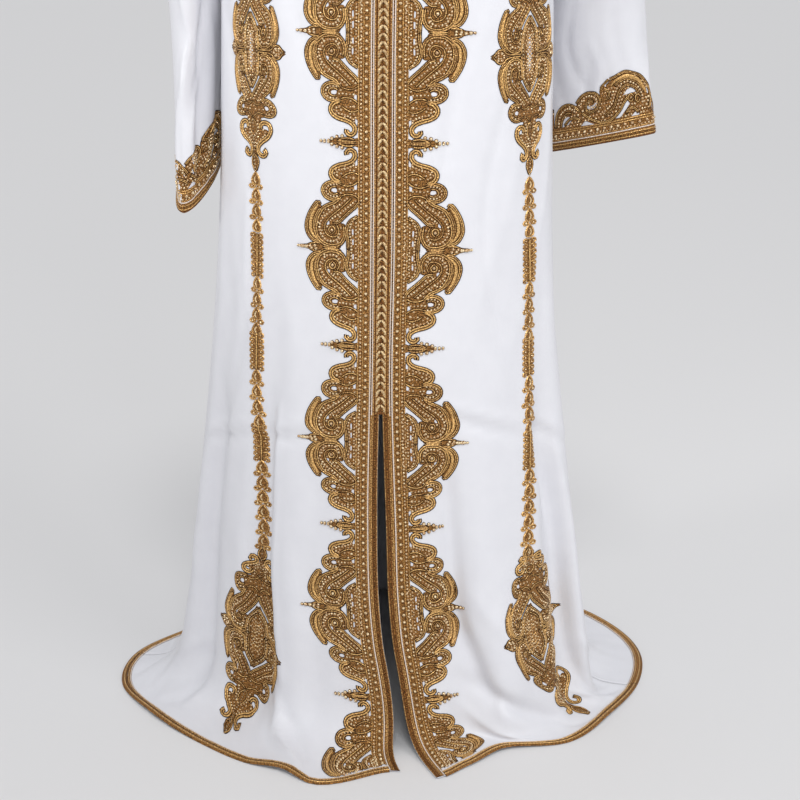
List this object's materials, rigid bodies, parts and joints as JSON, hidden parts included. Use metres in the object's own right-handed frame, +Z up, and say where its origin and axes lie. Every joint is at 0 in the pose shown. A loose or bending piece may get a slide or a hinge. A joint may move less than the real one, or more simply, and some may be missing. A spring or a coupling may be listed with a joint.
{
  "type": "moroccan kaftan",
  "caption": "Full-length hollow kaftan with wide sleeves, a braided front opening with a slit, and raised goldwork borders, medallions and cuffs.",
  "frame": {"origin": "centre of the neck's base between the shoulders, 1.43 m above the floor that the hem trails on", "axes": "+Z up, -Y the way the front faces, +X to the wearer's left hand"},
  "size_m": [0.7773, 0.7112, 1.4273],
  "materials": {
    "white satin": "satin",
    "antique gold thread": "metallic thread",
    "pale gold braid": "metallic thread"
  },
  "bodies": {
    "root": {"front_left": "white satin", "front_right": "white satin", "back": "white satin", "sleeve_left": "white satin", "sleeve_right": "white satin", "front_band_left": "antique gold thread", "front_band_right": "antique gold thread", "hem_band_left": "antique gold thread", "hem_band_right": "antique gold thread", "hem_band_back": "antique gold thread", "neck_band_left": "antique gold thread", "neck_band_right": "antique gold thread", "neck_band_back": "antique gold thread", "cuff_band_left": "antique gold thread", "cuff_band_right": "antique gold thread", "front_border_left": "antique gold thread", "front_border_right": "antique gold thread", "upper_medallion_left": "antique gold thread", "upper_medallion_right": "antique gold thread", "lower_medallion_left": "antique gold thread", "lower_medallion_right": "antique gold thread", "chain_left": "antique gold thread", "chain_right": "antique gold thread", "cuff_work_left": "antique gold thread", "cuff_work_right": "antique gold thread", "button_plait": "pale gold braid"}
  },
  "joints": []
}
